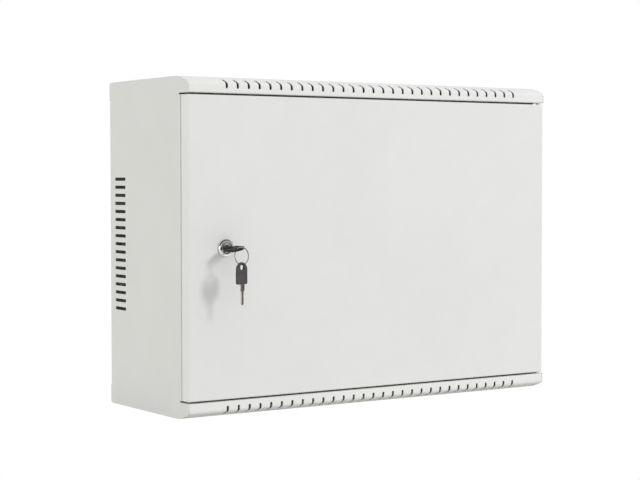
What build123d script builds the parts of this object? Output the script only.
from build123d import *
import math
import os

# Wall-mounted network cabinet, 540 x 400 x 200 mm, for 4 U of 19-inch equipment hung
# vertically behind a hinged, locking sheet-steel door.
#
# Everything is drawn in a drafting frame: X to the right with 0 on the centre line,
# Y = 0 on the front plane growing towards the wall, Z = 0 on the underside.
# place() then moves it to the part frame, whose origin is the centre of the four
# wall-fixing holes on the wall plane: X right, Y towards the wall, Z up.

os.makedirs("parts", exist_ok=True)

# ---------------------------------------------------------------- driving dimensions
WIDTH = 540.0
HEIGHT = 400.0
DEPTH = 200.0
SHEET = 1.2                 # body and door sheet
MID = SHEET / 2             # sheet face to sheet centre line
CAP = 20.0                  # height of the fixed strips above and below the door
GAP = 2.0                   # reveal between those strips and the door
SIDE_GAP = 1.0              # door edge to the outer face of each side
RECESS = 18.2               # door rebate depth, front plane to frame flange
FLANGE = 18.0               # width of the frame around the door opening
HALF = WIDTH / 2
INNER = HALF - SHEET        # inner face of a side panel
BACK = DEPTH - SHEET        # front face of the rear panel
CLEAR = 0.05                # assembly clearance between touching pieces
BEND = 1.4                  # usual centre-line bend radius

DOOR_W = WIDTH - 2 * SIDE_GAP
DOOR_DEPTH = 17.0
DOOR_LOW = CAP + GAP
DOOR_HIGH = HEIGHT - CAP - GAP
HINGE_X, HINGE_Y = 264.5, 5.0
LOCK_X, LOCK_Z = -220.0, HEIGHT / 2
KEY_TURN = 14.0             # key stands this far round from horizontal, anticlockwise from the front

# welded studs, and the holes that go over them
STUD_R = 2.5
STUD_HOLE_R = 2.75
COVER_STUD_Y = (50.0, 110.0, 170.0)
COVER_STUD_Z = (8.6, HEIGHT - 8.6)
REAR_STUD_X = (-170.0, 0.0, 170.0)          # along the top and bottom edges
REAR_STUD_Z = (9.0, HEIGHT - 9.0)
EDGE_STUD_X = 262.0                         # up the two side edges
EDGE_STUD_Z = (60.0, HEIGHT / 2, HEIGHT - 60.0)
RAIL_STUD_R = 3.0
RAIL_STUDS = [(62.0, 314.0), (152.0, 314.0)]                # y, z

# bonding studs: foot, axis, sideways direction that leaves the lug pointing up
EARTH_STUD_R, EARTH_STUD_L = 3.0, 14.0
EARTH_STUDS = [
    ((240.0, BACK, 60.0), (0, -1, 0), (1, 0, 0)),
    ((INNER, 130.0, 60.0), (-1, 0, 0), (0, -1, 0)),
]

SMALL_NUT = dict(across_flats=8.0, height=4.7, flange_r=5.6, flange_h=1.0, hole_r=2.55)
LARGE_NUT = dict(across_flats=10.0, height=5.8, flange_r=7.1, flange_h=1.2, hole_r=3.05)

SIDES = (-1, 1)
ARC_IN = 1 - math.sqrt(0.5)                 # inset of a unit quarter arc's midpoint


# ---------------------------------------------------------------- helpers
def place(shape):
    return Pos(0, -DEPTH, -HEIGHT / 2) * shape


def save(name, shape):
    solids = list(place(shape).solids())
    body = solids[0] if len(solids) == 1 else Compound(children=solids)
    export_step(body, os.path.join("parts", name + ".step"))


def save_all(name, shapes):
    """Several separate shapes in one file."""
    save(name, Compound(children=[solid for shape in shapes for solid in shape.solids()]))


def box(x0, x1, y0, y1, z0, z1):
    """Box between limits, which may come in either order."""
    size = (abs(x1 - x0), abs(y1 - y0), abs(z1 - z0))
    return Pos((x0 + x1) / 2, (y0 + y1) / 2, (z0 + z1) / 2) * Box(*size)


def rounded(axis, radius, *limits):
    """Box with the edges along one axis rounded."""
    return fillet(box(*limits).edges().filter_by(axis), radius)


def standing(radius, height):
    """Cylinder with its base at the origin."""
    return Cylinder(radius, height, align=(Align.CENTER, Align.CENTER, Align.MIN))


def rod(start, axis, radius, length):
    """Cylinder from a point along axis."""
    return Plane(origin=start, z_dir=Vector(*axis).normalized()) * standing(radius, length)


def chain(points, radii, offset):
    """Offset of a filleted polyline, as ('L', start, end) and ('A', start, mid, end)
    pieces; a positive offset is to its left."""
    def beside(point, way):
        return (point[0] - way[1] * offset, point[1] + way[0] * offset)

    ways = []
    for start, end in zip(points, points[1:]):
        dx, dy = end[0] - start[0], end[1] - start[1]
        length = math.hypot(dx, dy)
        ways.append((dx / length, dy / length))
    pieces = []
    current = beside(points[0], ways[0])
    for corner, radius, before, after in zip(points[1:-1], radii, ways, ways[1:]):
        turning = math.atan2(before[0] * after[1] - before[1] * after[0],
                             before[0] * after[0] + before[1] * after[1])
        side = 1 if turning > 0 else -1
        setback = radius * math.tan(abs(turning) / 2)
        tangent_in = (corner[0] - before[0] * setback, corner[1] - before[1] * setback)
        tangent_out = (corner[0] + after[0] * setback, corner[1] + after[1] * setback)
        centre = (tangent_in[0] - before[1] * radius * side,
                  tangent_in[1] + before[0] * radius * side)
        arc_start = beside(tangent_in, before)
        arc_end = beside(tangent_out, after)
        outward = (corner[0] - centre[0], corner[1] - centre[1])
        scale = (radius - side * offset) / math.hypot(*outward)
        middle = (centre[0] + outward[0] * scale, centre[1] + outward[1] * scale)
        pieces.append(("L", current, arc_start))
        pieces.append(("A", arc_start, middle, arc_end))
        current = arc_end
    pieces.append(("L", current, beside(points[-1], ways[-1])))
    return pieces


def backwards(pieces):
    return [(piece[0],) + tuple(reversed(piece[1:])) for piece in reversed(pieces)]


def polygon(points):
    return [("L", start, end) for start, end in zip(points, points[1:] + points[:1])]


def profile(pieces, to3d):
    """Face inside a closed loop of pieces; zero-length pieces are skipped."""
    curves = []
    for piece in pieces:
        points = [Vector(*to3d(*point)) for point in piece[1:]]
        if (points[0] - points[-1]).length < 1e-6:
            continue
        curves.append(Line(*points) if piece[0] == "L" else ThreePointArc(*points))
    return Face(Wire(curves))


def bent(points, radii, thickness, to3d, travel):
    """Bent sheet strip: centre line with bend radii, given thickness, extruded along travel."""
    left = chain(points, radii, thickness / 2)
    right = chain(points, radii, -thickness / 2)
    loop = left + [("L", left[-1][-1], right[-1][-1])]
    loop += backwards(right) + [("L", right[0][1], left[0][1])]
    return Solid.extrude(profile(loop, to3d), Vector(*travel))


def yz(x):
    return lambda a, b: (x, a, b)


def xy(z):
    return lambda a, b: (a, b, z)


def xz(y):
    return lambda a, b: (a, y, b)


def flip_z(shape):
    """The same piece upside down about mid-height."""
    return mirror(shape, about=Plane.XY.offset(HEIGHT / 2))


def flip_x(shape):
    return mirror(shape, about=Plane.YZ)


def hex_nut(start, axis, across_flats, height, hole_r, flange_r=0, flange_h=0):
    """Nut from a point along axis, corners taken off by a sphere, with an optional flange."""
    plane = Plane(origin=start, z_dir=Vector(*axis).normalized())
    body = extrude(plane * RegularPolygon(across_flats / 2, 6, major_radius=False), height)
    ball_r = math.hypot(across_flats / 2 * 1.06, height / 2)
    body = body & plane * Pos(0, 0, height / 2) * Sphere(ball_r)
    if flange_r:
        body = body + plane * Cone(flange_r, flange_r * 0.86, flange_h,
                                   align=(Align.CENTER, Align.CENTER, Align.MIN))
    return body - plane * Pos(0, 0, -1) * standing(hole_r, height + 2)


def stud(foot, axis, radius, length):
    """Welded stud with a slightly wider foot and chamfered ends."""
    shank = rod(foot, axis, radius, length)
    shank = chamfer(shank.edges().filter_by(GeomType.CIRCLE), 0.5)
    return shank + rod(foot, axis, radius + 0.02, 0.6)


def pan_screw(seat, axis, length):
    """Cross-recessed pan-head screw: seat is the point under the head, axis runs along the shank."""
    radius, head_r, head_h, sink = 2.0, 3.9, 2.4, 0.4
    along = Vector(*axis).normalized()
    plane = Plane(origin=seat, z_dir=-along)
    head = plane * standing(head_r, head_h)
    rim = [edge for edge in head.edges().filter_by(GeomType.CIRCLE)
           if abs((edge.arc_center - Vector(*seat)).length - head_h) < 0.01]
    head = fillet(rim, head_h * 0.55)
    slot_l, slot_w = 2 * head_r * 0.62, head_r * 0.2
    head -= plane * Pos(0, 0, head_h - 0.6) * Box(slot_l, slot_w, 2)
    head -= plane * Pos(0, 0, head_h - 0.6) * Box(slot_w, slot_l, 2)
    return head + rod(tuple(Vector(*seat) - along * sink), axis, radius, length + sink)


def hinge_rod(z, radius, length, up=1):
    """Cylinder on the hinge axis from height z, upwards or (up = -1) downwards."""
    return rod((HINGE_X, HINGE_Y, z), (0, 0, up), radius, length)


# ---------------------------------------------------------------- nose profile of covers and sides
SLOPE_Y = 21.2              # where the sloping nose would meet the flat top if it were not rounded
NOSE_Z = 9.0                # drop of the nose at the front plane
NOSE_POINTS = [             # y, z on the sheet centre line
    (MID, HEIGHT - CAP + MID),
    (MID, HEIGHT - NOSE_Z + 0.8),
    (SLOPE_Y, HEIGHT - MID),
    (BACK - MID, HEIGHT - MID),
]
NOSE_RADII = [4.4, 39.4]

# ---------------------------------------------------------------- top and bottom covers
COVER_DROP = 16.0           # rear and side fixing flanges reach this far below the top
COVER_X = INNER - 0.2
ENTRY_X = 150.0             # half width of the cable entry
ENTRY_Y = (140.0, 185.0)
ENTRY_SCREWS = [(x, y) for x in (-ENTRY_X - 6, ENTRY_X + 6)
                for y in (ENTRY_Y[0] - 3.5, ENTRY_Y[1] + 3.5)]
NOSE_SLOTS, NOSE_PITCH, NOSE_SLOT_W = 30, 15.0, 3.2
NOSE_SLOT_LOW, NOSE_SLOT_BACK = 5.6, 12.5


def entry_block(inset, z0, z1):
    """Block the size of the cable entry, less an inset all round."""
    return box(-ENTRY_X + inset, ENTRY_X - inset, ENTRY_Y[0] + inset, ENTRY_Y[1] - inset, z0, z1)


def nose_slot(x):
    half_w = NOSE_SLOT_W / 2
    slot = box(x - half_w, x + half_w, -2, NOSE_SLOT_BACK,
               HEIGHT - CAP + NOSE_SLOT_LOW, HEIGHT + 2)
    low = slot.edges().filter_by(Axis.Y).group_by(Axis.Z)[0]
    far = slot.edges().filter_by(Axis.Z).group_by(Axis.Y)[-1]
    return fillet(low + far, half_w - 0.15)


def make_cover():
    lip_low = HEIGHT - CAP - FLANGE
    points = [(RECESS + MID, lip_low), (RECESS + MID, HEIGHT - CAP + MID)] + NOSE_POINTS
    points += [(BACK - MID, HEIGHT - COVER_DROP)]
    cover = bent(points, [BEND, BEND] + NOSE_RADII + [3.4], SHEET, yz(-COVER_X),
                 (2 * COVER_X, 0, 0))
    # corner cut-outs that let the side frame flanges pass
    for side in SIDES:
        cover -= box(side * (HALF - FLANGE - 0.6), side * HALF, RECESS - 0.4, RECESS + 6,
                     lip_low - 1, HEIGHT - CAP - 0.05)
    # side fixing flanges
    flange_x = INNER - CLEAR - MID
    for side in SIDES:
        cover += bent([(side * (flange_x - 12), HEIGHT - MID), (side * flange_x, HEIGHT - MID),
                       (side * flange_x, HEIGHT - COVER_DROP)],
                      [BEND], SHEET, xz(30.0), (0, 160.0, 0))
    for side in SIDES:
        for y in COVER_STUD_Y:
            cover -= rod((side * (INNER - 5), y, COVER_STUD_Z[1]), (side, 0, 0), STUD_HOLE_R, 6)
    for x in REAR_STUD_X:
        cover -= rod((x, BACK - 4, REAR_STUD_Z[1]), (0, 1, 0), STUD_HOLE_R, 6)
    # hinge bush hole
    cover -= hinge_rod(HEIGHT - CAP - 1, 3.4, 4)
    # cable entry and its screw holes
    cover -= fillet(entry_block(0, HEIGHT - 3, HEIGHT + 3).edges().filter_by(Axis.Z), 4.0)
    for x, y in ENTRY_SCREWS:
        cover -= rod((x, y, HEIGHT - 3), (0, 0, 1), 2.1, 6)
    # slots over the nose
    first_x = -NOSE_PITCH * (NOSE_SLOTS - 1) / 2
    return cover - [nose_slot(first_x + i * NOSE_PITCH) for i in range(NOSE_SLOTS)]


top_cover = make_cover()
save("top_cover", top_cover)
save("bottom_cover", flip_z(top_cover))

# ---------------------------------------------------------------- side panels
VENTS, VENT_PITCH, VENT_H = 17, 10.0, 4.0
VENT_Y = (157.0, 185.0)
REAR_CORNER_R = 4.0
REAR_NOTCH_Z = 23.0         # the outline steps forward this far below the top
REAR_NOTCH_Y = 3.0


def side_outline():
    """Closed outline: the upper half from the door opening back, then its reflection."""
    nose = chain(NOSE_POINTS, NOSE_RADII, MID)              # outer face of the nose and top
    ledge = HEIGHT - CAP
    notch = HEIGHT - REAR_NOTCH_Z
    corner_top = (BACK - REAR_CORNER_R, HEIGHT)
    corner_back = (BACK, HEIGHT - REAR_CORNER_R)
    corner_mid = (BACK - REAR_CORNER_R * ARC_IN, HEIGHT - REAR_CORNER_R * ARC_IN)
    upper = [("L", (RECESS + 3.0, ledge), (0.0, ledge)), ("L", (0.0, ledge), nose[0][1])]
    upper += nose[:-1]
    upper += [("L", nose[-1][1], corner_top),
              ("A", corner_top, corner_mid, corner_back),
              ("L", corner_back, (BACK, notch)),
              ("L", (BACK, notch), (BACK - REAR_NOTCH_Y, notch))]
    lower = backwards([(piece[0],) + tuple((y, HEIGHT - z) for y, z in piece[1:])
                       for piece in upper])
    return (upper + [("L", upper[-1][-1], lower[0][1])]
            + lower + [("L", lower[-1][-1], upper[0][1])])


def make_left_side():
    side = Solid.extrude(profile(side_outline(), yz(-HALF)), Vector(SHEET, 0, 0))
    # frame flange at the door opening, and rear flange
    side += bent([(-HALF + MID, 40.0), (-HALF + MID, RECESS + MID), (-HALF + FLANGE, RECESS + MID)],
                 [BEND], SHEET, xy(CAP + 1.5), (0, 0, HEIGHT - 2 * CAP - 3.0))
    side += bent([(-HALF + MID, 150.0), (-HALF + MID, BACK - MID), (-HALF + 16.0, BACK - MID)],
                 [BEND], SHEET, xy(24.0), (0, 0, HEIGHT - 48.0))
    vents = []
    for i in range(VENTS):
        z = HEIGHT / 2 + (i - (VENTS - 1) / 2) * VENT_PITCH
        vents.append(rounded(Axis.X, 0.8, -HALF - 1, -INNER + 1, *VENT_Y,
                             z - VENT_H / 2, z + VENT_H / 2))
    side -= vents
    for z in EDGE_STUD_Z:
        side -= rod((-EDGE_STUD_X, BACK - 4, z), (0, 1, 0), STUD_HOLE_R, 6)
    return side


left_side = make_left_side()
save("left_side_panel", left_side)
save("right_side_panel", flip_x(left_side))

left_studs = [stud((-INNER, y, z), (1, 0, 0), STUD_R, 10.0)
              for z in COVER_STUD_Z for y in COVER_STUD_Y]
left_studs += [stud((-INNER, y, z), (1, 0, 0), RAIL_STUD_R, 12.0) for y, z in RAIL_STUDS]
rear_earth, side_earth = [stud(foot, axis, EARTH_STUD_R, EARTH_STUD_L)
                          for foot, axis, _ in EARTH_STUDS]
save_all("side_panel_studs", left_studs + [flip_x(piece) for piece in left_studs] + [side_earth])

# ---------------------------------------------------------------- rear panel
WALL_X, WALL_Z, WALL_R = 230.0, 150.0, 4.5              # wall-fixing holes, from the centre
REAR_INSET = 2.0            # panel edge in from the cabinet side
REAR_MARGIN_Z = 4.0
REAR_ENTRY = (-120.0, 120.0, 60.0, 125.0)               # x0, x1, z0, z1


def rear_entry(grow, y0, y1, radius):
    """Block the shape of the rear cable opening, grown all round."""
    x0, x1, z0, z1 = REAR_ENTRY
    return rounded(Axis.Y, radius, x0 - grow, x1 + grow, y0, y1, z0 - grow, z1 + grow)


rear = rounded(Axis.Y, 4.0, -HALF + REAR_INSET, HALF - REAR_INSET, BACK, DEPTH,
               REAR_MARGIN_Z, HEIGHT - REAR_MARGIN_Z)
for x in (-WALL_X, WALL_X):
    for z in (HEIGHT / 2 - WALL_Z, HEIGHT / 2 + WALL_Z):
        rear -= rod((x, BACK - 2, z), (0, 1, 0), WALL_R, 6)
rear -= rear_entry(0, BACK - 2, DEPTH + 2, 8.0)
save("rear_panel", rear)

rear_studs = [(side * EDGE_STUD_X, z) for side in SIDES for z in EDGE_STUD_Z]
rear_studs += [(x, z) for x in REAR_STUD_X for z in REAR_STUD_Z]
save_all("rear_panel_studs",
         [stud((x, BACK, z), (0, -1, 0), STUD_R, 10.0) for x, z in rear_studs] + [rear_earth])
save_all("rear_panel_nuts",
         [hex_nut((x, BACK - SHEET - CLEAR, z), (0, -1, 0), **SMALL_NUT) for x, z in rear_studs])
save_all("cover_nuts",
         [hex_nut((side * (INNER - SHEET - 2 * CLEAR), y, z), (-side, 0, 0), **SMALL_NUT)
          for side in SIDES for y in COVER_STUD_Y for z in COVER_STUD_Z])

# rear cable opening lining, a rubber edge trim flush with the wall plane
TRIM_T = 2.2
trim_flange = rear_entry(5, BACK - TRIM_T, BACK - CLEAR, 13.0)
trim_neck = rear_entry(-CLEAR, BACK - TRIM_T, DEPTH, 8.0)
trim_hole = rear_entry(-TRIM_T, BACK - 4, DEPTH + 2, 6.0)
save("rear_entry_trim", (trim_flange + trim_neck) - trim_hole)

# ---------------------------------------------------------------- cable entries, top and bottom
ENTRY_PLATE_X = ENTRY_X + 12.0              # half width of the plate and of the brush strips
ENTRY_HOLE_R = 2.2

# plate under the top cover, with a raised panel filling the opening, hollow underneath
plate = rounded(Axis.Z, 3.0, -ENTRY_PLATE_X, ENTRY_PLATE_X, 131.0, 193.5,
                HEIGHT - 2 * SHEET - CLEAR, HEIGHT - SHEET - CLEAR)
plate += fillet(entry_block(0.4, HEIGHT - 2 * SHEET, HEIGHT - 0.3).edges().filter_by(Axis.Z), 3.8)
plate -= entry_block(3.0, HEIGHT - 2 * SHEET - 1, HEIGHT - SHEET - 0.3)
for x, y in ENTRY_SCREWS:
    plate -= rod((x, y, HEIGHT - 4), (0, 0, 1), ENTRY_HOLE_R, 6)
save("top_entry_plate", plate)
save_all("top_entry_screws", [pan_screw((x, y, HEIGHT - 2 * SHEET - 2 * CLEAR), (0, 0, 1), 2.4)
                              for x, y in ENTRY_SCREWS])

# brush entry in the bottom cover: two clamp strips, bristles between them, screws
STRIP_TOP = 5.2
BRUSH_MID = sum(ENTRY_Y) / 2
strips, bristles = [], []
for y_out, y_in, inward in ((132.4, 139.0, 1), (192.4, 186.0, -1)):
    strip = box(-ENTRY_PLATE_X, ENTRY_PLATE_X, y_out, y_in, SHEET + CLEAR, STRIP_TOP)
    lip = box(-148.0, 148.0, y_in - inward * 0.5, y_in + inward * 3.0, 4.0, STRIP_TOP)
    strip = fillet((strip + lip).edges().filter_by(Axis.X).group_by(Axis.Z)[-1], 0.4)
    for x, y in ENTRY_SCREWS:
        strip = strip - rod((x, y, 0), (0, 0, 1), ENTRY_HOLE_R, 8)
    strips.append(strip)
    bristles.append(box(-147.5, 147.5, y_in + inward * 0.6, BRUSH_MID - inward * 0.2, 1.6, 3.6))
save_all("bottom_brush_strips", strips)
save_all("bottom_brush_bristles", bristles)
save_all("bottom_brush_screws", [pan_screw((x, y, STRIP_TOP + CLEAR), (0, 0, -1), 5.0)
                                 for x, y in ENTRY_SCREWS])

# ---------------------------------------------------------------- 19-inch rails, 4 U along the depth
RAIL_T, RAIL_TOP = 2.0, 330.0
RAIL_LOW = 299.0
RAIL_EDGE_X = 225.6
RACK_UNIT = 44.45
RACK_START_Y = 19.6
RACK_HOLE_X = 465.1 / 2
RACK_HOLE_HALF = 4.75
RACK_HOLES_Y = [RACK_START_Y + unit * RACK_UNIT + step
                for unit in range(4) for step in (6.35, 22.225, 38.1)]


def make_left_rail():
    mid_x = INNER - CLEAR - RAIL_T / 2
    mid_z = RAIL_TOP - RAIL_T / 2
    rail = bent([(-mid_x, RAIL_LOW), (-mid_x, mid_z), (-RAIL_EDGE_X, mid_z)], [2.2], RAIL_T,
                xz(20.4), (0, 176.4, 0))
    rail -= [box(-RACK_HOLE_X - RACK_HOLE_HALF, -RACK_HOLE_X + RACK_HOLE_HALF,
                 y - RACK_HOLE_HALF, y + RACK_HOLE_HALF, RAIL_TOP - 4, RAIL_TOP + 2)
             for y in RACK_HOLES_Y]
    # upright slots over the side panel studs
    for y, z in RAIL_STUDS:
        rail -= rounded(Axis.X, 3.25, -INNER - 1, -INNER + 5, y - 3.3, y + 3.3, z - 7, z + 7)
    # round the two free corners of the drilled leg
    corners = rail.edges().filter_by(Axis.Z).sort_by(lambda edge: abs(edge.center().X))[:2]
    return fillet(corners, 4.0)


left_rail = make_left_rail()
save("rack_rail_left", left_rail)
save("rack_rail_right", flip_x(left_rail))
save_all("rail_nuts",
         [hex_nut((side * (INNER - RAIL_T - 2 * CLEAR), y, z), (-side, 0, 0), **LARGE_NUT)
          for side in SIDES for y, z in RAIL_STUDS])

# cage nuts clipped into the first and last hole of each rail
RAIL_UNDER = RAIL_TOP - RAIL_T
NUT_TOP = RAIL_UNDER - 1.0


def cage_clip(x, y):
    clip = box(x - 6.6, x + 6.6, y - 5.2, y + 5.2, NUT_TOP - 5.6, RAIL_UNDER - CLEAR)
    clip -= box(x - 5.9, x + 5.9, y - 6, y + 6, NUT_TOP - 4.9, NUT_TOP + 0.2)
    clip -= box(x - 3.6, x + 3.6, y - 6, y + 6, NUT_TOP - 7, NUT_TOP - 4)
    # ears up through the hole, hooked over the rail
    for side in SIDES:
        ear_x = x + side * 3.85
        clip += box(ear_x, x + side * 4.65, y - 2.8, y + 2.8, RAIL_UNDER - 0.4, RAIL_TOP + 0.9)
        clip += box(ear_x, x + side * 5.9, y - 2.8, y + 2.8, RAIL_TOP + CLEAR, RAIL_TOP + 0.85)
    return clip - rod((x, y, NUT_TOP - 2), (0, 0, 1), 3.6, 8)


def square_nut(x, y):
    nut = box(x - 5.3, x + 5.3, y - 5.0, y + 5.0, NUT_TOP - 4.8, NUT_TOP)
    nut = chamfer(nut.edges().filter_by(Axis.Z), 0.7)
    return nut - rod((x, y, NUT_TOP - 6), (0, 0, 1), 2.6, 8)


cage_places = [(side * RACK_HOLE_X, y) for side in SIDES
               for y in (RACK_HOLES_Y[0], RACK_HOLES_Y[-1])]
save_all("cage_nut_clips", [cage_clip(x, y) for x, y in cage_places])
save_all("cage_nut_squares", [square_nut(x, y) for x, y in cage_places])

# ---------------------------------------------------------------- earth bond
EARTH_WASHER_T = 1.4
LUG_T = 0.85
LUG_SEAT = EARTH_WASHER_T + 2 * CLEAR       # stud foot to the underside of the lug
LUG_HOLE_R = 3.1
CRIMP_RISE = 1.9                            # crimp tube axis above the underside of the lug


def along_stud(foot, axis, distance):
    return tuple(Vector(*foot) + Vector(*axis) * distance)


def lug(plane):
    """Crimp lug on a plane: z outwards along the stud, y along the wire."""
    ring = plane * standing(5.6, LUG_T)
    tongue = plane * Pos(0, 8.0, LUG_T / 2) * Box(5.2, 8.4, LUG_T)
    tube = plane * Pos(0, 11.0, CRIMP_RISE) * Rot(-90, 0, 0) * standing(2.3, 9.0)
    bore = plane * Pos(0, 13.0, CRIMP_RISE) * Rot(-90, 0, 0) * standing(1.65, 9.0)
    return ring + tongue + tube - bore - plane * Pos(0, 0, -1) * standing(LUG_HOLE_R, 4)


washers, nuts, lugs, wire_ends = [], [], [], []
for foot, axis, sideways in EARTH_STUDS:
    washers.append(rod(along_stud(foot, axis, CLEAR), axis, 6.2, EARTH_WASHER_T)
                   - rod(along_stud(foot, axis, -1), axis, LUG_HOLE_R, 4))
    nuts.append(hex_nut(along_stud(foot, axis, LUG_SEAT + LUG_T + CLEAR), axis,
                        across_flats=10.0, height=5.0, hole_r=3.05))
    lugs.append(lug(Plane(origin=along_stud(foot, axis, LUG_SEAT), x_dir=sideways, z_dir=axis)))
    wire_ends.append(Vector(*along_stud(foot, axis, LUG_SEAT + CRIMP_RISE)) + Vector(0, 0, 13.2))
save_all("earth_washers", washers)
save_all("earth_nuts", nuts)
save_all("earth_lugs", lugs)

rear_end, side_end = wire_ends
rise = Vector(0, 0, 10.0)
arch = Spline(rear_end + rise,
              rear_end + Vector(9, -4, 44),
              (rear_end + side_end) * 0.5 + Vector(0, 0, 72),
              side_end + Vector(-8, 9, 44),
              side_end + rise,
              tangents=[Vector(0, 0, 1), Vector(0, 0, -1)])
wire_path = Wire([Line(rear_end, rear_end + rise), arch, Line(side_end + rise, side_end)])
save("earth_wire", sweep(Plane(origin=rear_end, z_dir=(0, 0, 1)) * Circle(1.6), path=wire_path))


# ---------------------------------------------------------------- hinge bushes
def bush(z_face, up, bore_r):
    """Bush in a cover; z_face is the cover face towards the door, up points into the cover."""
    body = hinge_rod(z_face, 3.35, SHEET + 1.4, up)
    body += hinge_rod(z_face + up * (SHEET + 0.25), 3.55, 1.2, up)
    return body - hinge_rod(z_face - up * 1, bore_r, 6, up)


save("upper_hinge_bush", bush(HEIGHT - CAP, 1, 2.55))
save("lower_hinge_bush", bush(CAP, -1, 2.05))

# ---------------------------------------------------------------- lock frame
LOCK_AXIS = Axis((LOCK_X, 0, LOCK_Z), (0, 1, 0))
BARREL_R = 9.45
LOCK_HOLE_R = 9.6
PLUG_BORE_R = 6.56


def lock_rod(y, radius, length):
    """Cylinder on the lock axis, from y towards the wall."""
    return rod((LOCK_X, y, LOCK_Z), (0, 1, 0), radius, length)


def lock_box(half_x, y0, y1, half_z):
    """Box centred on the lock axis."""
    return box(LOCK_X - half_x, LOCK_X + half_x, y0, y1, LOCK_Z - half_z, LOCK_Z + half_z)


# ---------------------------------------------------------------- door
DOOR_R = 1.8                # rounding of the front edges
DOOR_LIP = 11.0             # door edge to the inner edge of its return lip


def make_door():
    half_w = DOOR_W / 2
    outer = box(-half_w, half_w, 0, DOOR_DEPTH, DOOR_LOW, DOOR_HIGH)
    outer = fillet(outer.faces().sort_by(Axis.Y)[0].edges(), DOOR_R)
    inner = box(-half_w + SHEET, half_w - SHEET, SHEET, DOOR_DEPTH - SHEET,
                DOOR_LOW + SHEET, DOOR_HIGH - SHEET)
    inner = fillet(inner.faces().sort_by(Axis.Y)[0].edges(), DOOR_R - SHEET)
    mouth = box(-half_w + DOOR_LIP, half_w - DOOR_LIP, SHEET + 1, DOOR_DEPTH + 2,
                DOOR_LOW + DOOR_LIP, DOOR_HIGH - DOOR_LIP)
    door = outer - inner - mouth
    # open corner seams in the returns, and mitre grooves in the lips
    for side in SIDES:
        for z, inward in ((DOOR_LOW, 1), (DOOR_HIGH, -1)):
            x = side * (half_w - SHEET - 0.25)
            door -= box(x - 0.25, x + 0.25, 3.0, DOOR_DEPTH + 1,
                        z - inward, z + inward * (SHEET + 0.01))
            mitre = Plane(origin=(side * (half_w - 6), DOOR_DEPTH - 1, z + inward * 6),
                          x_dir=(side, 0, -inward), z_dir=(0, 1, 0))
            door -= mitre * Box(13.0, 0.4, 3.2)
    for z in (DOOR_LOW, DOOR_HIGH):
        door -= hinge_rod(z - 3, 2.56, 6)
    return door - (lock_rod(-2, LOCK_HOLE_R, 6) & lock_box(12, -3, 6, 8.1))


save("door_panel", make_door())


def hinge_bracket(z, hole_r):
    """Bracket inside the door skin: a drilled ear at height z and an upright leg on the skin."""
    bracket = box(248.0, 267.5, SHEET + CLEAR, 14.5, z, z + 2.0)
    bracket += box(248.0, 257.5, SHEET + CLEAR, SHEET + 1.6, z, z + 26.0)
    bracket = fillet(bracket.edges().filter_by(Axis.Z).sort_by(Axis.Y)[-2:], 2.5)
    return bracket - hinge_rod(z - 5, hole_r, 12)


save("upper_hinge_bracket", hinge_bracket(338.0, 2.06))
save("lower_hinge_bracket", hinge_bracket(32.0, 2.52))

# hat-section rib behind the skin
RIB_POINTS = [              # x, y on the centre line
    (-30.0, 1.75), (-15.0, 1.75), (-12.0, 9.5), (12.0, 9.5), (15.0, 1.75), (30.0, 1.75),
]
save("door_rib", bent(RIB_POINTS, [BEND] * 4, 1.0, xy(44.0), (0, 0, HEIGHT - 88.0)))

# gasket on the return lips
SEAL_W = 6.0
SEAL_X = (-266.4, 264.0)
SEAL_Z = (DOOR_LOW + 2.6, DOOR_HIGH - 2.6)
seal = box(*SEAL_X, DOOR_DEPTH + CLEAR, RECESS - 0.1, *SEAL_Z)
seal -= box(SEAL_X[0] + SEAL_W, SEAL_X[1] - SEAL_W, DOOR_DEPTH - 1, RECESS + 1,
            SEAL_Z[0] + SEAL_W, SEAL_Z[1] - SEAL_W)
seal = fillet(seal.edges().filter_by(Axis.Y).filter_by(lambda edge: abs(edge.center().X) > 263),
              2.0)
save("door_gasket", seal)

# ---------------------------------------------------------------- hinge pins
PIN_R = 2.5
THIN_PIN_R = 2.0

# lower pin: shoulder on the bush carries the door
lower_pin = hinge_rod(CAP + 0.05, PIN_R, 16.0) + hinge_rod(13.0, THIN_PIN_R, 8.0)
save("lower_hinge_pin", chamfer(lower_pin.faces().sort_by(Axis.Z)[0].edges(), 0.6))

# upper pin: sprung, with a finger lever bent towards the middle of the door
SHOULDER_Z = 362.0
STEM_Z = 330.0
LEVER_Z = 326.0
LEVER_BEND = 3.0
upper_pin = hinge_rod(SHOULDER_Z, PIN_R, 24.0)
upper_pin = chamfer(upper_pin.faces().sort_by(Axis.Z)[-1].edges(), 0.9)
upper_pin += hinge_rod(STEM_Z, THIN_PIN_R, SHOULDER_Z - STEM_Z + 1)
lever_top = (HINGE_X, HINGE_Y, STEM_Z + 1)
bend_top = (HINGE_X, HINGE_Y, LEVER_Z + LEVER_BEND)
bend_mid = (HINGE_X - LEVER_BEND * ARC_IN, HINGE_Y, LEVER_Z + LEVER_BEND * ARC_IN)
bend_end = (HINGE_X - LEVER_BEND, HINGE_Y, LEVER_Z)
lever_path = Wire([Line(lever_top, bend_top),
                   ThreePointArc(bend_top, bend_mid, bend_end),
                   Line(bend_end, (HINGE_X - 26, HINGE_Y, LEVER_Z))])
upper_pin += sweep(Plane(origin=lever_top, z_dir=(0, 0, -1)) * Circle(THIN_PIN_R),
                   path=lever_path)
save("upper_hinge_pin", upper_pin)

clip = hinge_rod(336.9, 3.1, 0.9) - hinge_rod(336, 2.03, 3)
clip -= box(HINGE_X - 1.5, HINGE_X + 1.5, HINGE_Y, HINGE_Y + 6, 336, 339)
save("upper_hinge_clip", clip)

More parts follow.
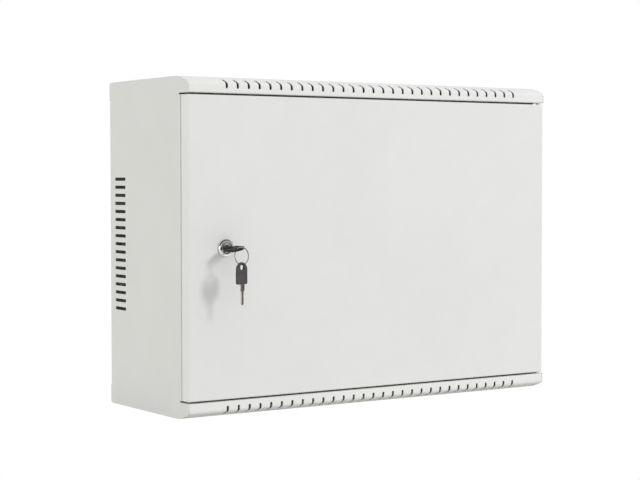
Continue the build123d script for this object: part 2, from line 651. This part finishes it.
grip = rod((HINGE_X - 14, HINGE_Y, LEVER_Z), (-1, 0, 0), 3.0, 14.0)
grip -= rod((HINGE_X - 13, HINGE_Y, LEVER_Z), (-1, 0, 0), 2.02, 13.2)
save("upper_hinge_pin_grip", fillet(grip.faces().sort_by(Axis.X)[0].edges(), 1.0))

helix = Helix(pitch=2.62, height=21.0, radius=2.6, center=(HINGE_X, HINGE_Y, 340.5))
save("upper_hinge_spring", sweep(Plane(origin=helix @ 0, z_dir=helix % 0) * Circle(0.34),
                                 path=helix, is_frenet=True))


# ---------------------------------------------------------------- cam lock
def from_lock_axis(radius, y):
    return (LOCK_X + radius, y, LOCK_Z)


def make_housing():
    # barrel with thread-like grooves, then flats above and below
    points = [(PLUG_BORE_R, 0.0), (PLUG_BORE_R, 19.6), (9.1, 19.6)]
    for groove in range(18):
        y = 19.2 - groove
        points += [(BARREL_R, y), (9.05, y - 0.5)]
    points += [(BARREL_R, 1.2), (BARREL_R, 0.0)]
    barrel = revolve(profile(polygon(points), from_lock_axis), axis=LOCK_AXIS,
                     revolution_arc=360)
    barrel &= lock_box(12, -1, 21, 8.0)
    # domed head with a raised rim round the plug: radius, y
    outline = [("L", (PLUG_BORE_R, -CLEAR), (PLUG_BORE_R, -2.2)),
               ("A", (PLUG_BORE_R, -2.2), (7.1, -2.95), (7.9, -3.0)),
               ("A", (7.9, -3.0), (9.7, -2.35), (10.3, -0.9)),
               ("L", (10.3, -0.9), (10.3, -CLEAR)),
               ("L", (10.3, -CLEAR), (PLUG_BORE_R, -CLEAR))]
    head = revolve(profile(outline, from_lock_axis), axis=LOCK_AXIS, revolution_arc=360)
    neck = lock_rod(-1.0, BARREL_R, 1.6) & lock_box(12, -2, 2, 8.0)
    neck = neck - lock_rod(-3.0, PLUG_BORE_R, 6)
    return head + neck + barrel


save("lock_housing", make_housing())

WASHER_R, WASHER_T, NOTCHES = 12.6, 0.8, 16
washer = lock_rod(SHEET + CLEAR, WASHER_R, WASHER_T) - lock_rod(0, LOCK_HOLE_R, 4)
for i in range(NOTCHES):
    angle = math.radians(360 / NOTCHES * i)
    notch = Plane(origin=(LOCK_X + WASHER_R * math.cos(angle), SHEET + 0.4,
                          LOCK_Z + WASHER_R * math.sin(angle)),
                  z_dir=(0, 1, 0), x_dir=(math.cos(angle), 0, math.sin(angle)))
    washer -= notch * Box(2.2, 1.3, 3)
save("lock_washer", washer)
save("lock_nut", hex_nut((LOCK_X, SHEET + WASHER_T + 2 * CLEAR, LOCK_Z), (0, 1, 0),
                         across_flats=22.0, height=4.0, hole_r=9.52))


def save_turned(name, shape):
    """Save a piece turned to the key's angle, anticlockwise seen from the front."""
    save(name, shape.rotate(Axis((LOCK_X, 0, LOCK_Z), (0, -1, 0)), KEY_TURN))


# plug, drawn with the key slot horizontal
plug = lock_rod(-2.4, 6.5, 22.0)
plug = chamfer(plug.faces().sort_by(Axis.Y)[0].edges(), 0.5)
plug += lock_box(3.5, 19.5, 22.9, 3.5)
plug -= lock_box(3.3, -4, 19.0, 1.02)
plug -= lock_rod(19.4, 2.05, 5)
save_turned("lock_plug", plug)

cam = box(LOCK_X - 7, LOCK_X + 7, 20.6, 22.6, LOCK_Z - 8, LOCK_Z + 45)
cam = fillet(cam.edges().filter_by(Axis.Y).group_by(Axis.Z)[-1], 5.0)
cam = fillet(cam.edges().filter_by(Axis.Y).group_by(Axis.Z)[0], 4.0)
cam -= lock_box(3.56, 18, 25, 3.56)
save_turned("lock_cam", cam)

screw_head = hex_nut((LOCK_X, 23.95, LOCK_Z), (0, 1, 0),
                     across_flats=7.0, height=3.0, hole_r=0.5)
save_turned("cam_screw", screw_head + lock_rod(20.0, 2.0, 6.0))
save_turned("cam_washer", lock_rod(22.95, 6.0, 0.95) - lock_rod(22, 2.1, 3))

# ---------------------------------------------------------------- key
# drawn flat in XY about the base of the bow: blade along +Y, bow along -Y
BOW_L, BOW_W, BOW_T, HOLE_R = 25.5, 18.5, 3.0, 3.6
BOW_SET = -0.9              # mid-plane of the bow off the mid-plane of the blade
RIM = 2.2                   # hole to the end of the bow
BLADE_L, BLADE_W, BLADE_T = 24.0, 6.2, 1.8
BLADE_HALF = BLADE_W / 2
TONGUE_L = 9.0              # length of blade held in the bow
TONGUE_LOW, TONGUE_HIGH = -BLADE_T / 2, 0.1             # its levels

BLADE_POINTS = [            # x, y round the blade, starting inside the bow
    (-BLADE_HALF, -TONGUE_L), (-BLADE_HALF, 6.6), (-BLADE_HALF + 0.7, 7.4),
    (-1.6, 7.8), (-1.6, 8.6), (-0.8, 9.6), (-0.8, 10.2), (-1.6, 11.2), (-1.6, 11.8),
    (-0.7, 13.0), (-0.7, 13.6), (-1.5, 14.8), (-1.5, 15.3), (-0.9, 16.3), (-0.9, 16.9),
    (-1.6, 18.1), (-1.6, 18.7), (-0.8, 19.8), (-0.8, 20.4), (-1.4, 21.4),
    (-0.3, BLADE_L), (0.5, BLADE_L), (1.6, 22.2), (1.6, 7.8),
    (BLADE_HALF - 0.7, 7.4), (BLADE_HALF, 6.6), (BLADE_HALF, -TONGUE_L),
]


def make_blade():
    top = BLADE_T / 2
    blade = Solid.extrude(profile(polygon(BLADE_POINTS), xy(-top)), Vector(0, 0, BLADE_T))
    # milled grooves, one in each face
    blade -= box(-0.45, 0.25, 0.5, BLADE_L + 2, top - 0.4, top + 1)
    blade -= box(0.45, 1.0, 0.5, BLADE_L + 2, -top - 1, -top + 0.4)
    # thinned tongue
    return blade - box(-BLADE_HALF - 1, BLADE_HALF + 1, -10.0, -0.6, TONGUE_HIGH, 3.0)


def make_bow():
    half_w = BOW_W / 2
    arc_y = -(BOW_L - half_w)
    outline = [("L", (-half_w, 0.0), (-half_w, arc_y)),
               ("A", (-half_w, arc_y), (0, -BOW_L), (half_w, arc_y)),
               ("L", (half_w, arc_y), (half_w, 0.0)),
               ("L", (half_w, 0.0), (-half_w, 0.0))]
    bow = Solid.extrude(profile(outline, xy(-BOW_T / 2)), Vector(0, 0, BOW_T))
    bow = fillet(bow.edges().filter_by(Axis.Z).group_by(Axis.Y)[-1], 2.0)
    bow = fillet(bow.faces().filter_by(Axis.Z).edges(), 0.7)
    # shallow panel sunk in each face
    for side in SIDES:
        bow -= rounded(Axis.Z, 2.0, -6.2, 6.2, -13.4, -2.6,
                       side * (BOW_T / 2 - 0.3), side * (BOW_T / 2 + 1))
    # slightly elongated ring hole
    hole_y = -(BOW_L - RIM - HOLE_R)
    for x in (-0.6, 0.6):
        bow -= Pos(x, hole_y, 0) * Cylinder(HOLE_R, 10)
    bow -= Pos(0, hole_y, 0) * Box(1.2, 2 * HOLE_R, 10)
    bow = Pos(0, 0, BOW_SET) * bow
    # pocket for the tongue and the full-thickness root of the blade
    pocket_x = BLADE_HALF + CLEAR
    pocket = box(-pocket_x, pocket_x, -TONGUE_L - CLEAR, -0.5,
                 TONGUE_LOW - 0.02, TONGUE_HIGH + 0.02)
    pocket += box(-pocket_x, pocket_x, -0.6 - CLEAR, 1.0, -BLADE_T / 2 - 0.02, BLADE_T / 2 + 0.02)
    return bow - pocket


blade = make_blade()
bow = make_bow()
BOW_BASE_Y = -8.5           # bow base stands this far in front of the door
in_lock = Pos(LOCK_X, BOW_BASE_Y, LOCK_Z)
save_turned("key_blade", in_lock * blade)
save_turned("key_bow", in_lock * bow)

# ring hangs over the rim at the end of the bow; its plane runs mostly fore and aft
RING_R, WIRE_R = 10.1, 0.55
RING_ANGLE = math.radians(70.0)
RING_APEX = 1.8             # top of the wire's centre line above the lock axis
ring_across = Vector(math.cos(RING_ANGLE), -math.sin(RING_ANGLE), 0)    # horizontal, in its plane
ring_normal = Vector(math.sin(RING_ANGLE), math.cos(RING_ANGLE), 0)
rim_centre = Vector(LOCK_X, BOW_BASE_Y - (BOW_L - RIM / 2), LOCK_Z)
ring_centre = rim_centre + Vector(0, 0, RING_APEX - RING_R) + ring_across * 2.1
save("key_ring", Plane(origin=ring_centre, z_dir=ring_normal, x_dir=ring_across)
     * Torus(RING_R, WIRE_R))

# spare key hangs blade down on the ring's lowest point, flat across the ring plane
spare_top = ring_centre + Vector(0, 0, -RING_R + WIRE_R + 0.17 + RIM)
spare_plane = Plane(origin=spare_top, x_dir=ring_normal, z_dir=ring_across)
spare_place = Location(spare_plane) * Rot(0, 0, 180) * Pos(0, BOW_L, -BOW_SET)
save("spare_key_blade", spare_place * blade)
save("spare_key_bow", spare_place * bow)
